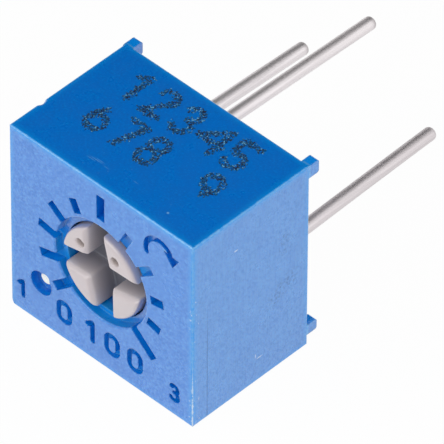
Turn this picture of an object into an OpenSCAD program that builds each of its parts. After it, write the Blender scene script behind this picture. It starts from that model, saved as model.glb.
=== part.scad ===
// Single-turn sealed trimmer potentiometer, 1/4 inch square class, three round pins.
//
// Every piece is drawn in the part's upright frame: z = 0 is the seating plane at the
// ends of the four standoff feet, the dial looks along +z, and the pins point to -z.
// lie_down() then tips the whole part on to its lower side, so that it rests on
// Z = 0 with the dial towards -Y and the pins towards +Y.

/* [Housing] */
// Width of the dial face
body_w = 6.99; // [6.8:0.01:7.2]
// Height of the dial face
body_h = 6.80; // [6.6:0.01:7.0]
// Depth from the dial face to the back rim
body_d = 4.55; // [4.4:0.01:4.7]
// Rounding of the outer edges
edge_r = 0.07; // [0.03:0.01:0.10]
// Length of the standoff feet behind the back rim
foot_len = 0.35; // [0.3:0.01:0.5]
// Width of a standoff foot
foot_w = 0.30; // [0.2:0.01:0.4]
// Height of the two upper feet, which end flush with the top
foot_upper_h = 0.46; // [0.3:0.01:0.6]
// Height of the two lower feet
foot_lower_h = 0.37; // [0.3:0.01:0.6]
// Distance of the lower feet from the bottom edge
foot_lower_gap = 0.38; // [0:0.01:0.5]
// Inner width of the back opening that holds the element
cavity_w = 5.90; // [5.8:0.01:6.1]
// Inner height of the back opening
cavity_h = 5.70; // [5.6:0.01:5.8]

/* [Dial] */
// Radius of the round recess about the rotor
recess_r = 1.74; // [1.7:0.01:1.8]
// Rounding of the recess's mouth
recess_lip = 0.06; // [0.03:0.01:0.1]
// Place of the recess's centre on the dial face
recess_at = [-0.02, 0.11]; // [-0.12:0.01:0.12]
// Depth of the recess and of the dial marks
recess_depth = 0.30; // [0.2:0.01:0.4]
// Number of dial marks
mark_count = 11; // [3:2:13]
// Angle between two dial marks, in degrees
mark_step = 26.5; // [20:0.5:27]
// Width of a dial mark
mark_w = 0.30; // [0.15:0.01:0.35]
// Radius of the marks' outer ends
mark_out = 2.42; // [2.3:0.01:2.6]
// Radius at which a mark clear of the recess begins
mark_in = 1.93; // [1.8:0.01:2.1]
// Height of the marks' centre above the middle of the dial face
marks_up = 0.06; // [-0.1:0.01:0.1]
// Radii of the middle mark's two ends
mid_mark = [2.06, 2.94]; // [1.9:0.01:3.1]
// How far the last mark runs past the others
last_mark_more = 0.32; // [0:0.01:0.5]
// Height of the dial numbers
number_h = 0.86; // [0.6:0.01:0.95]
// Height of the terminal numbers
terminal_h = 0.69; // [0.5:0.01:0.8]
// Stroke width of the terminal numbers
terminal_w = 0.15; // [0.1:0.01:0.2]
// Stroke width of the dial numbers and the arrow
engrave_w = 0.18; // [0.1:0.01:0.2]
// Depth of everything engraved
engrave_depth = 0.18; // [0.05:0.01:0.2]

/* [Rotor] */
// Place of the rotor's axis on the dial face
axis_at = [-0.06, 0.03]; // [-0.06:0.01:0.06]
// Radius of the rotor's slotted head
head_r = 1.46; // [1.40:0.01:1.47]
// Angle at which the rotor was left, anticlockwise from mid-travel
rotor_turn = 7.4; // [-30:0.1:30]
// Half-width of the cross slot at the middle
slot_mid = 0.47; // [0.35:0.01:0.5]
// Half-width of the cross slot at the rim
slot_end = 0.28; // [0.2:0.01:0.34]
// Depth of the cross slot
slot_depth = 0.90; // [0.6:0.01:0.95]
// Radius of the rotor's inner flange
flange_r = 2.05; // [1.9:0.01:2.1]
// Thickness of the inner flange
flange_t = 0.50; // [0.4:0.01:0.55]

/* [Element] */
// Thickness of the ceramic substrate
substrate_t = 0.60; // [0.5:0.01:0.65]
// Thickness of the fired films
film_t = 0.05; // [0.03:0.01:0.06]
// Mean radius of the resistive track
track_r = 1.58; // [1.5:0.01:1.65]
// Width of the resistive track
track_w = 0.55; // [0.4:0.01:0.6]
// Depth of the back rim that the epoxy leaves free
epoxy_sink = 0.10; // [0.05:0.01:0.2]

/* [Pins] */
// Pin grid
pin_pitch = 2.54; // [2.5:0.01:2.6]
// Pin diameter
pin_d = 0.41; // [0.35:0.01:0.5]
// Pin length beyond the seating plane
pin_len = 5.70; // [3:0.01:7]

/* [Ink] */
// Height of the printed numbers
ink_h = 1.25; // [1:0.01:1.3]
// Stroke width of the printed numbers
ink_w = 0.19; // [0.12:0.01:0.25]
// Thickness of the ink
ink_t = 0.02; // [0.02:0.01:0.04]

/* [Hidden] */
$fn = 64;
eps = 0.01;

// Levels along z, from the seating plane up
back_z = foot_len;
face_z = foot_len + body_d;
recess_z = face_z - recess_depth;
head_wall = 1.75;                       // front wall of the housing, dial face to cavity
wall_z = face_z - head_wall;
shelf_z = face_z - 3.00;                // ledge that the substrate sits on
substrate_z = shelf_z - substrate_t;
epoxy_z = back_z + epoxy_sink;
wet_h = 0.12;                           // height that the epoxy climbs up a pin
wet_r = 0.48;                           // radius within which it climbs
pin_top_z = shelf_z + 0.16;

// Plan sizes
bore_r = head_r + 0.05;
chamber_r = 2.62;                       // round chamber that the flange turns in
foot_r = 0.08;                          // rounding of a foot's end
gate_r = 0.40;                          // pit of the gate mark
gate_at = [-2.31, -1.84];
stub_r = 0.19;                          // stub of the sprue at the pit's edge
stub_at = [-2.15, -1.57];
stub_low = 0.04;                        // how far the stub ends below the face
pocket_r = 0.48;                        // pockets over the soldered pin ends
fillet_r = 0.44;                        // solder about a pin
fillet_h = 0.14;
pad_r = 0.46;                           // conductor about a pin
via_r = 0.15;                           // conductor through the substrate
track_over = 6;                         // the track runs this far past each end, in degrees
cavity_corner = 0.30;
pin_r = pin_d / 2;
root_r = pin_r + 0.03;                  // soldered end of the pin's slightly swelled root
root_z = foot_len - 0.08;               // the swelling begins just behind the back rim
pin_hole_r = root_r + 0.02;
tip_h = 0.10;                           // chamfer of a pin's tip
tip_in = 0.09;
pin_xy = [[-pin_pitch, 0], [0, pin_pitch], [pin_pitch, 0]];

// End stops: the lug on the flange meets a rib in the housing at both ends of the dial
travel = mark_step * (mark_count - 1);
lug_half = 15;
stop_half = (360 - travel) / 2 - lug_half - 0.5;
lug_r = chamber_r - 0.12;

// Rotor levels and its O-ring
bevel = 0.10;                           // bevel of the slot's mouth
// The slot's right, upper, left and lower arms are moulded a little unevenly: how far
// each stands aside, anticlockwise, and how much narrower each half of it is
arm_aside = [0, 0.055, 0, -0.06];
arm_less = [0.07, 0.01, 0.045, 0];
dimple_r = 0.15;
dimple_depth = 0.22;
rim_r = 0.12;                           // rounding of the head's rim
seal_r = 0.20;
groove_r = bore_r - 0.02 - 2 * seal_r;
groove_top = face_z - 1.04;
groove_w = 2 * seal_r + 0.06;
flange_top = wall_z - 0.05;
flange_bottom = flange_top - flange_t;
spring_t = 0.08;
peg_r = 0.17;
peg_xy = [[-1.25, -0.35], [1.25, -0.35]];

part_len = face_z + pin_len;
seat_y = face_z - part_len / 2;

// ---------- placing ----------

// Tips the upright part on to its lower side and centres it along Y.
module lie_down()
    translate([0, seat_y, body_h / 2]) rotate([90, 0, 0]) children();

// Puts a piece on the rotor's axis.
module on_axis() translate([axis_at[0], axis_at[1], 0]) children();

// Turns a rotor piece to the angle at which the rotor was left, on its axis.
module as_left() on_axis() rotate([0, 0, rotor_turn]) children();

// ---------- plane shapes ----------

// Rectangle about the origin with true round corners.
module round_rect(w, h, r) {
    square([w - 2 * r, h], center = true);
    square([w, h - 2 * r], center = true);
    for (x = [-1, 1], y = [-1, 1])
        translate([x * (w / 2 - r), y * (h / 2 - r)]) circle(r);
}

// Straight stroke from a to b with round ends.
module stroke(a, b, w) {
    d = b - a;
    translate(a) rotate(atan2(d[1], d[0])) {
        translate([0, -w / 2]) square([norm(d), w]);
        circle(w / 2);
        translate([norm(d), 0]) circle(w / 2);
    }
}

// Wedge from angle a0 to a1, wide enough to cut a circle of radius r.
module wedge(r, a0, a1) {
    steps = 6;
    polygon(concat([[0, 0]], [for (i = [0:steps])
        let (a = a0 + (a1 - a0) * i / steps) 1.5 * r * [cos(a), sin(a)]]));
}

// Round stroke of radius r about c, from angle a0 to a1, with round ends.
module arc(c, r, a0, a1, w) {
    translate(c) {
        intersection() {
            difference() {
                circle(r + w / 2);
                circle(r - w / 2);
            }
            wedge(r + w, a0, a1);
        }
        for (a = [a0, a1]) translate(r * [cos(a), sin(a)]) circle(w / 2);
    }
}

// Whole round stroke.
module ring(c, r, w) translate(c) difference() {
    circle(r + w / 2);
    circle(r - w / 2);
}

// One plain figure, h high about the origin, drawn with strokes w wide.
module figure(n, h, w) {
    top = (h - w) / 2;
    side = 0.52 * top;
    upper = 0.47 * top;
    lower = top - upper;
    if (n == 0) {
        difference() {
            round_rect(2 * side + 1.4 * w, h, side + 0.65 * w);
            round_rect(2 * side - 0.6 * w, h - 2 * w, side - 0.35 * w);
        }
    }
    if (n == 1) {
        stroke([0.1 * h, -top], [0.1 * h, top], w);
        stroke([0.1 * h, top], [-0.12 * h, 0.6 * top], w);
    }
    if (n == 2) {
        arc([0, top - side], side, -30, 165, w);
        stroke([side * cos(30), top - side - side * sin(30)], [-side, -top], w);
        stroke([-side, -top], [side, -top], w);
    }
    if (n == 3) {
        arc([0, top - upper], upper, -90, 150, w);
        arc([0, lower - top], lower, -150, 90, w);
    }
    if (n == 4) {
        stroke([0.25 * h, -top], [0.25 * h, top], w);
        stroke([0.25 * h, top], [-0.3 * h, -0.3 * top], w);
        stroke([-0.3 * h, -0.3 * top], [0.36 * h, -0.3 * top], w);
    }
    if (n == 5) {
        stroke([side, top], [-side, top], w);
        stroke([-side, top], [-side, 0.1 * top], w);
        arc([0, lower - top], lower, -150, 120, w);
    }
    if (n == 6) {
        ring([0, lower - top], lower, w);
        arc([2 * lower, lower - top], 3 * lower, 140, 180, w);
    }
    if (n == 7) {
        stroke([-side, top], [side, top], w);
        stroke([side, top], [-0.2 * side, -top], w);
    }
    if (n == 8) {
        ring([0, top - upper], upper, w);
        ring([0, lower - top], lower, w);
    }
    if (n == 9) rotate(180) figure(6, h, w);
}

// Sector of a ring from radius r0 to r1 and angle a0 to a1, t thick, standing on z = 0.
module ring_sector(r0, r1, a0, a1, t)
    rotate([0, 0, a0]) rotate_extrude(angle = a1 - a0)
        translate([r0, 0]) square([r1 - r0, t]);

// ---------- housing ----------

// Block with every outer edge rounded.
module housing_block() intersection() {
    linear_extrude(body_d) round_rect(body_w, body_h, edge_r);
    translate([0, body_h / 2, body_d / 2]) rotate([90, 0, 0])
        linear_extrude(body_h) round_rect(body_w, body_d, edge_r);
    translate([-body_w / 2, 0, body_d / 2]) rotate([90, 0, 90])
        linear_extrude(body_w) round_rect(body_h, body_d, edge_r);
}

// Standoff foot from height y0 to y1, flush with the housing's side, with a rounded end.
module foot(side, y0, y1) {
    length = foot_len + 2 * edge_r;
    translate([side * (body_w - foot_w) / 2 - foot_w / 2, (y0 + y1) / 2, length / 2])
        rotate([90, 0, 90]) linear_extrude(foot_w) round_rect(y1 - y0, length, foot_r);
}

// The upper feet end flush with the top, the lower ones stand above the bottom edge.
module feet() {
    for (side = [-1, 1]) {
        foot(side, body_h / 2 - foot_upper_h, body_h / 2);
        foot(side, foot_lower_gap - body_h / 2, foot_lower_gap + foot_lower_h - body_h / 2);
    }
}

// Dial marks: the middle one is long, the last one is longer, and all but four run
// into the recess. One of the four stands a little nearer to it.
module dial_marks() {
    last = (mark_count - 1) / 2;
    for (k = [-last:last]) {
        clear = k == 1 || k == -3 || k == -4;
        inward = k == -4 ? 0.08 : 0;
        r0 = k == 0 ? mid_mark[0] : clear ? mark_in - inward : recess_r - 0.08;
        r1 = k == 0 ? mid_mark[1] : k == -last ? mark_out + last_mark_more
            : mark_out - inward;
        translate([0, marks_up]) rotate(90 + k * mark_step)
            translate([r0, -mark_w / 2]) square([r1 - r0, mark_w]);
    }
}

// Terminal numbers in the lower corners, and 0 and 100 at the ends of the dial.
module face_numbers() {
    translate([-3.09, -2.53]) figure(1, terminal_h, terminal_w);
    translate([2.80, -2.54]) figure(3, terminal_h, terminal_w);
    for (f = [[0, -1.42], [1, -0.42], [0, 0.42], [0, 1.30]])
        translate([f[1], -2.36]) figure(f[0], number_h, engrave_w);
}

// Curved arrow that shows which way the value rises.
module turn_arrow() translate([2.22, 2.34]) {
    arc([0, 0], 0.50, 35, 200, engrave_w);
    translate(0.50 * [cos(20), sin(20)])
        polygon([[-0.30, 0.10], [0.28, 0.04], [0.04, -0.34]]);
}

// Gate mark: a round pit that keeps the broken stub of the sprue below the face.
module gate_pit() difference() {
    translate([gate_at[0], gate_at[1], recess_z]) cylinder(r = gate_r, h = 1);
    translate([stub_at[0], stub_at[1], recess_z - 1])
        cylinder(r = stub_r, h = 1 + recess_depth - stub_low);
}

// Round recess about the rotor, from its floor up, with a rounded mouth.
module recess() rotate_extrude() polygon([
    [0, 0], [recess_r, 0],
    for (a = [180:-18:90])
        [recess_r + recess_lip, recess_depth - recess_lip] + recess_lip * [cos(a), sin(a)],
    [recess_r + recess_lip, 1], [0, 1]]);

// Hollow inside: bore, round chamber, solder pockets and the element's opening.
module housing_inside() {
    on_axis() {
        translate([0, 0, wall_z - eps]) cylinder(r = bore_r, h = head_wall + 1);
        translate([0, 0, shelf_z - eps]) cylinder(r = chamber_r, h = wall_z - shelf_z + eps);
    }
    for (p = pin_xy) translate([p[0], p[1], shelf_z - eps]) cylinder(r = pocket_r, h = 0.5);
    translate([0, 0, -1]) linear_extrude(shelf_z + 1)
        round_rect(cavity_w, cavity_h, cavity_corner);
}

module housing() color("#2f6fc4") lie_down() {
    difference() {
        union() {
            translate([0, 0, back_z]) housing_block();
            feet();
        }
        housing_inside();
        translate([recess_at[0], recess_at[1], recess_z]) recess();
        translate([0, 0, recess_z]) linear_extrude(1) dial_marks();
        translate([0, 0, face_z - engrave_depth]) linear_extrude(1) {
            face_numbers();
            turn_arrow();
        }
        gate_pit();
        // a knock in the upper left edge
        translate([-body_w / 2 - 0.12, body_h / 2 + 0.05, face_z - 1.25])
            sphere(r = 0.24, $fn = 32);
        // a chipped lower left corner
        translate([-body_w / 2, -body_h / 2, face_z - 0.30]) linear_extrude(1)
            polygon([[-0.1, -0.1], [0.19, -0.1], [-0.1, 0.45]]);
    }
    // end stop for the rotor's lug
    on_axis() translate([0, 0, flange_bottom - 0.1])
        ring_sector(flange_r + 0.07, chamber_r + 0.1, -90 - stop_half, -90 + stop_half,
            wall_z - flange_bottom + 0.15);
}

// ---------- rotor and what turns with it ----------

// Plan of arm i of the cross slot along +x, grown by e on each side.
module slot_arm(i, e) {
    x = head_r + 0.2;
    off = arm_aside[i];
    mid = slot_mid - arm_less[i] + e;
    end = slot_end - arm_less[i] / 2 + e;
    polygon([[-eps, off + mid], [x, off + end], [x, off - end], [-eps, off - mid]]);
}

// Cross slot with a bevelled mouth.
module cross_slot() for (i = [0:3]) rotate([0, 0, 90 * i]) {
    translate([0, 0, face_z - slot_depth]) linear_extrude(slot_depth + 1) slot_arm(i, 0);
    hull() {
        translate([0, 0, face_z - 1.2 * bevel]) linear_extrude(eps) slot_arm(i, 0);
        translate([0, 0, face_z]) linear_extrude(eps) slot_arm(i, bevel);
    }
}

// Turned body of the rotor: rounded head, O-ring groove and flange.
module rotor_body() rotate_extrude() polygon([
    [0, face_z],
    for (a = [90:-22.5:0]) [head_r - rim_r, face_z - rim_r] + rim_r * [cos(a), sin(a)],
    [head_r, groove_top], [groove_r, groove_top],
    [groove_r, groove_top - groove_w], [head_r, groove_top - groove_w],
    [head_r, flange_top], [flange_r, flange_top],
    [flange_r, flange_bottom], [0, flange_bottom]]);

module rotor() color("#cdc8c6") lie_down() as_left() {
    difference() {
        rotor_body();
        cross_slot();
        for (a = [48.4, 131.6]) rotate([0, 0, a])
            translate([1.01, 0, face_z - dimple_depth]) cylinder(r = dimple_r, h = 1);
    }
    translate([0, 0, flange_bottom])
        ring_sector(flange_r - 0.1, lug_r, 90 - lug_half, 90 + lug_half, flange_t);
    for (p = peg_xy) translate([p[0], p[1], flange_bottom - 0.2])
        cylinder(r = peg_r, h = 0.2 + eps);
}

module o_ring() color("#b5523c") lie_down() on_axis()
    translate([0, 0, groove_top - groove_w / 2])
        rotate_extrude() translate([groove_r + seal_r, 0]) circle(seal_r);

// Side view of a contact finger that starts at y = 0 and reaches y = len.
module finger(len, w, drop) rotate([90, 0, 90]) translate([0, 0, -w / 2])
    linear_extrude(w) polygon([
        [0, 0], [0.08, 0], [len - 0.22, -drop + spring_t], [len, -drop + 0.24],
        [len, -drop + 0.14], [len - 0.18, -drop], [len - 0.26, -drop],
        [0.06, -spring_t], [0, -spring_t]]);

// Stamped spring on the flange: outer fingers run on the track, inner ones on the
// collector.
module contact_spring() color("#d9c08a") lie_down() as_left() {
    film_top = shelf_z + film_t;
    drop = flange_bottom - film_top - 0.02;
    outer_y = track_r + 0.22;
    translate([0, 0, flange_bottom - spring_t]) linear_extrude(spring_t) difference() {
        circle(1.80);
        translate([-0.50, 0.62]) square([1.0, 2]);
        translate([-0.34, -0.85]) square([0.68, 1.15]);
        for (p = peg_xy) translate(p) circle(peg_r + 0.01);
    }
    for (i = [-1.5:1.5]) translate([i * 0.22, 0.60, flange_bottom])
        finger(outer_y - 0.60, 0.15, drop);
    for (i = [-1:1]) translate([i * 0.20, -0.87, flange_bottom])
        finger(1.05, 0.14, drop);
}

// ---------- element ----------

module substrate() color("#e9e6de") lie_down() difference() {
    translate([0, 0, substrate_z]) linear_extrude(substrate_t)
        round_rect(cavity_w - 0.04, cavity_h - 0.04, cavity_corner);
    for (p = pin_xy) translate([p[0], p[1], substrate_z - 1]) cylinder(r = pin_hole_r, h = 3);
    on_axis() translate([0, 0, substrate_z - 1]) cylinder(r = via_r, h = 3);
}

module resistive_track() color("#3a3a3e") lie_down() on_axis() translate([0, 0, shelf_z])
    ring_sector(track_r - track_w / 2, track_r + track_w / 2,
        90 - travel / 2 - track_over, 90 + travel / 2 + track_over, film_t);

// Fired pad from the end of the track to its pin, clear of the track's side.
module end_pad(side) {
    a = 90 - travel / 2 - track_over;
    track_out = track_r + track_w / 2;
    axis = [side * axis_at[0], axis_at[1]];
    lie_down() translate([0, 0, shelf_z]) mirror([side < 0 ? 1 : 0, 0, 0]) {
        linear_extrude(film_t) difference() {
            union() {
                translate([pin_pitch, 0]) circle(pad_r);
                stroke([pin_pitch - 0.08, 0],
                    axis + (track_out + 0.30) * [cos(a), sin(a)], 0.5);
            }
            translate(axis) circle(track_out + 0.06);
            translate([pin_pitch, 0]) circle(pin_hole_r);
        }
        translate([axis[0], axis[1], 0])
            ring_sector(track_r - track_w / 2, track_out + 0.10, a - 12, a, film_t);
    }
}

module end_pad_1() color("#cfcdc8") end_pad(-1);
module end_pad_3() color("#cfcdc8") end_pad(1);

// Plan of the back conductor from the rotor's axis to pin 2.
module back_conductor() {
    translate(axis_at) circle(0.45);
    translate([0, pin_pitch]) circle(pad_r);
    translate([-0.22, 0]) square([0.44, pin_pitch]);
}

// Contact disc under the inner fingers, joined through the substrate to pin 2.
module collector() color("#cfcdc8") lie_down() {
    on_axis() {
        translate([0, 0, shelf_z]) cylinder(r = 0.60, h = film_t);
        translate([0, 0, substrate_z]) cylinder(r = via_r, h = substrate_t);
    }
    translate([0, 0, substrate_z - film_t]) linear_extrude(film_t) difference() {
        back_conductor();
        translate([0, pin_pitch]) circle(pin_hole_r);
    }
}

// ---------- terminals ----------

// Round pin with a chamfered tip; its root swells slightly towards the soldered end.
module pin_form() rotate_extrude() polygon([
    [0, pin_top_z], [root_r, pin_top_z], [pin_r, root_z], [pin_r, -pin_len + tip_h],
    [pin_r - tip_in, -pin_len], [0, -pin_len]]);

module pin(i) color("#c9c8ca") lie_down() translate(pin_xy[i]) pin_form();

module pin_1() pin(0);
module pin_2() pin(1);
module pin_3() pin(2);

// Solder about a pin, from z = 0 upwards.
module fillet_form() rotate_extrude() polygon([
    [0, 0], [fillet_r, 0], [fillet_r - 0.10, 0.05], [fillet_r - 0.16, fillet_h], [0, fillet_h]]);

module solder_on(i, z, side) color("#b9babd") lie_down() translate(pin_xy[i]) difference() {
    translate([0, 0, z]) mirror([0, 0, side < 0 ? 1 : 0]) fillet_form();
    pin_form();
}

module solder_1() solder_on(0, shelf_z + film_t, 1);
module solder_2() solder_on(1, substrate_z - film_t, -1);
module solder_3() solder_on(2, shelf_z + film_t, 1);

// Potting behind the element, wetted up a little round each pin.
module epoxy_seal() color("#2c5fa8") lie_down() difference() {
    union() {
        translate([0, 0, epoxy_z]) linear_extrude(substrate_z - epoxy_z)
            round_rect(cavity_w, cavity_h, cavity_corner);
        for (p = pin_xy) translate([p[0], p[1], epoxy_z - wet_h])
            cylinder(r1 = root_r, r2 = wet_r, h = wet_h + eps);
    }
    for (p = pin_xy) translate(p) pin_form();
    translate([0, 0, substrate_z - film_t]) {
        linear_extrude(1) back_conductor();
        translate([0, pin_pitch, 0]) mirror([0, 0, 1]) fillet_form();
    }
}

// ---------- print on the top side ----------

// A row of figures on the top side; depth is the row's distance from the dial face.
module ink_row(figures, places, depth) color("#1c2f52")
    translate([0, seat_y - face_z + depth, body_h]) linear_extrude(ink_t)
        for (i = [0:len(figures) - 1])
            translate([places[i], 0]) figure(figures[i], ink_h, ink_w);

module ink_back_row() ink_row([1, 2, 3, 4, 5], [-2.08, -1.08, -0.12, 0.86, 1.88], 3.50);
module ink_front_row() ink_row([6, 7, 8], [-1.87, -0.91, 0.05], 1.98);
module ink_single() ink_row([9], [2.09], 1.98);

housing();
rotor();
o_ring();
contact_spring();
substrate();
resistive_track();
end_pad_1();
end_pad_3();
collector();
pin_1();
pin_2();
pin_3();
solder_1();
solder_2();
solder_3();
epoxy_seal();
ink_back_row();
ink_front_row();
ink_single();
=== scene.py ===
# %% [markdown]
# A square trimmer: a small variable resistor that a screwdriver turns. It is a blue
# moulded box 7 mm across with an engraved dial, a grey slotted rotor, a potted back
# and three tinned pins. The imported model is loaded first, because every piece made
# here sits on it and rides with it.

# %% Load the frame
import math

import bmesh
import bpy
import numpy as np
from mathutils import Matrix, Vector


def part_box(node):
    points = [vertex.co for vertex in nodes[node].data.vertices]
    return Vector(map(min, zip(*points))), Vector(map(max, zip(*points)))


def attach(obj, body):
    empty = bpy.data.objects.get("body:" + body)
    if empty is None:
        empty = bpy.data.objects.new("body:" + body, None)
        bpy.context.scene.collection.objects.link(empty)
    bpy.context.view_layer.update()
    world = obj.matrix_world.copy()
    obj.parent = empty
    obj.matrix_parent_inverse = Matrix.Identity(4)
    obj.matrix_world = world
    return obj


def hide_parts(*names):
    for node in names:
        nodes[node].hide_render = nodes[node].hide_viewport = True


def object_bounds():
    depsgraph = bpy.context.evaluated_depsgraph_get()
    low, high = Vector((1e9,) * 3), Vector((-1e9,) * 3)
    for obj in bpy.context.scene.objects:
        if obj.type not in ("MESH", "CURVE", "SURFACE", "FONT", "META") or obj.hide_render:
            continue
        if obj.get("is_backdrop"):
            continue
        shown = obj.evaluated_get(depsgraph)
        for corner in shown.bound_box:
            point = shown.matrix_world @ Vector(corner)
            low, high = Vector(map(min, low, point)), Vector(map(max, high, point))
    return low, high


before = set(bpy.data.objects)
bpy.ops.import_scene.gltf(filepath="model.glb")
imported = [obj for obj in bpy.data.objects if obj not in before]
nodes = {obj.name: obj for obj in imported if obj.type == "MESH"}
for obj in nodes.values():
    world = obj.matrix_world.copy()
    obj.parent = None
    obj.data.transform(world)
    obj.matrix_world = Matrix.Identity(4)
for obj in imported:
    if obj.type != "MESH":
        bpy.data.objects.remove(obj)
cad_low, cad_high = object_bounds()
MM = 0.001
print("frame loaded, box in mm:", [round(v / MM, 2) for v in (*cad_low, *cad_high)])

# %% [markdown]
# The printed side is the top, the dial looks along -Y and the pins run along +Y. The
# places that several pieces share are read from the nodes' boxes, in millimetres, so
# that they follow the model.

# %% Places read from the model
def box_mm(name):
    """Lowest and highest corner of a node, in millimetres."""
    return tuple(np.array(v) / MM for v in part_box(name))


case_low, case_high = box_mm("housing")
dial_y, top_z = case_low[1], case_high[2]
case_mid = (case_low + case_high) / 2
dial_z = (case_low[2] + top_z) / 2
print("case in mm:", np.round(case_high - case_low, 3), "dial at y", round(float(dial_y), 3))

# %% [markdown]
# The camera looks from the right and above through a very long lens, so that the
# parallel edges of the box stay nearly parallel. It is turned a third of a degree
# about its line of sight. Distances are in millimetres, as everywhere below.

# %% Camera
AZIMUTH, ELEVATION, ROLL = (math.radians(v) for v in (43.881, 44.028, 0.319))
AIM = np.array([2.4073, -3.0500, 5.5317])
DISTANCE = 267.68
SENSOR_WIDTH, FOCAL_OVER_WIDTH = 36.0, 22.259
NEAREST, FARTHEST = 0.05 * DISTANCE, 50 * DISTANCE


def view_axes(azimuth, elevation, roll=0.0):
    """Right, up and backward unit vectors of a view: back is the direction of the two
    angles on a sphere, and right and up are turned about it by roll."""
    back = np.array([
        math.sin(azimuth) * math.cos(elevation),
        -math.cos(azimuth) * math.cos(elevation),
        math.sin(elevation),
    ])
    right = np.array([math.cos(azimuth), math.sin(azimuth), 0.0])
    up = np.cross(back, right)
    c, s = math.cos(roll), math.sin(roll)
    return c * right + s * up, c * up - s * right, back


def stand(obj, place, axes):
    """Links an object and puts it at place, in mm, with its X, Y and Z on the axes."""
    bpy.context.collection.objects.link(obj)
    matrix = np.eye(4)
    matrix[:3, :3] = np.stack(axes, axis=1)
    matrix[:3, 3] = np.array(place) * MM
    obj.matrix_world = Matrix(matrix.tolist())
    return obj


lens = bpy.data.cameras.new("view")
lens.sensor_width = SENSOR_WIDTH
lens.lens = SENSOR_WIDTH * FOCAL_OVER_WIDTH
lens.clip_start, lens.clip_end = NEAREST * MM, FARTHEST * MM
axes = view_axes(AZIMUTH, ELEVATION, ROLL)
camera = stand(bpy.data.objects.new("view", lens), AIM + DISTANCE * axes[2], axes)
bpy.context.scene.camera = camera
print("camera lens in mm:", round(lens.lens, 1))

# %% [markdown]
# Shaders are wired by one small helper: a node is made with its settings, and each of
# its inputs is given a value or another node's output. The others are short names for
# the nodes that are used most.

# %% Shader helpers
def put(tree, kind, inputs=None, **settings):
    """Adds a shader node; an input that is given an output socket is linked to it."""
    made = tree.nodes.new(kind)
    for name, value in settings.items():
        setattr(made, name, value)
    for name, value in (inputs or {}).items():
        if isinstance(value, bpy.types.NodeSocket):
            tree.links.new(value, made.inputs[name])
        else:
            made.inputs[name].default_value = value
    return made


def maths(tree, operation, *values, clamp=False):
    """Result of one Math node."""
    inputs = dict(enumerate(values))
    return put(tree, "ShaderNodeMath", inputs, operation=operation, use_clamp=clamp).outputs[0]


def times(tree, first, second):
    """Product of two masks."""
    return maths(tree, "MULTIPLY", first, second)


def larger(tree, first, second):
    """The larger of two masks at each place."""
    return maths(tree, "MAXIMUM", first, second)


def vector_maths(tree, operation, first, second):
    """Result of one Vector Math node."""
    made = put(tree, "ShaderNodeVectorMath", {0: first, 1: second}, operation=operation)
    return made.outputs[0]


def parts(tree, vector):
    """X, Y and Z of a vector."""
    return put(tree, "ShaderNodeSeparateXYZ", {0: vector}).outputs


def noise(tree, place, scale, detail):
    """Value of a noise whose features are 1 / scale apart."""
    inputs = {"Vector": place, "Scale": scale, "Detail": detail}
    return put(tree, "ShaderNodeTexNoise", inputs).outputs["Fac"]


def ramp(tree, value, low, high, start=0.0, end=1.0):
    """Smooth step of value from low to high, giving start to end. Low may be the higher
    of the two: the step then falls."""
    inputs = {"Value": value, "From Min": low, "From Max": high, "To Min": start, "To Max": end}
    made = put(tree, "ShaderNodeMapRange", inputs, interpolation_type="SMOOTHSTEP")
    return made.outputs["Result"]


def blend_colour(tree, mask, first, second):
    """First colour where the mask is 0, second where it is 1."""
    made = put(tree, "ShaderNodeMix", data_type="RGBA")
    for socket, value in ((0, mask), (6, first), (7, second)):
        if isinstance(value, bpy.types.NodeSocket):
            tree.links.new(value, made.inputs[socket])
        else:
            made.inputs[socket].default_value = value
    return made.outputs[2]


def rgb(red, green, blue):
    """A colour that hides what is behind it."""
    return (red, green, blue, 1.0)


# %% [markdown]
# Light. A white tent all round gives the flat, even light of a catalogue picture, and
# what mirrors it sees plain white. An image of a studio could light the scene, but a
# plain world colour can be set by one number. It is a little weaker where it lights
# things than where it is seen, so that pale surfaces keep their tones.

# %% Tent
TENT_STRENGTH = 0.82
scene = bpy.context.scene
scene.view_settings.view_transform = "Standard"


def seen_directly(tree):
    """1 for camera, glossy and transmission rays, 0 for the rays that light things."""
    path = put(tree, "ShaderNodeLightPath").outputs
    sharp = larger(tree, path["Is Camera Ray"], path["Is Glossy Ray"])
    return larger(tree, sharp, path["Is Transmission Ray"])


def fresh_tree(owner):
    """Empties an owner's node tree and returns it."""
    owner.use_nodes = True
    owner.node_tree.nodes.clear()
    return owner.node_tree


scene.world = bpy.data.worlds.new("tent")
tree = fresh_tree(scene.world)
light = put(tree, "ShaderNodeBackground", {"Color": rgb(1, 1, 1), "Strength": TENT_STRENGTH})
plain = put(tree, "ShaderNodeBackground", {"Color": rgb(1, 1, 1), "Strength": 1.0})
chosen = put(tree, "ShaderNodeMixShader", {
    0: seen_directly(tree), 1: light.outputs[0], 2: plain.outputs[0]})
put(tree, "ShaderNodeOutputWorld", {"Surface": chosen.outputs[0]})
print("tent strength:", TENT_STRENGTH)

# %% [markdown]
# Two square soft boxes give the flat light a direction. The key stands in front of the
# dial, a little to its left, and a fill of half its power stands on the right.

# %% Lamps
def soft_box(name, azimuth, elevation, size, watts, distance=60.0):
    """A square lamp that faces the part from a direction in degrees; sizes in mm."""
    data = bpy.data.lights.new(name, "AREA")
    data.shape, data.size, data.energy = "SQUARE", size * MM, watts
    turned = view_axes(math.radians(azimuth), math.radians(elevation))
    return stand(bpy.data.objects.new(name, data), case_mid + distance * turned[2], turned)


soft_box("key", -15, 32, size=46, watts=0.009)
soft_box("fill_right", 100, 28, size=40, watts=0.0045)

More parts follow.
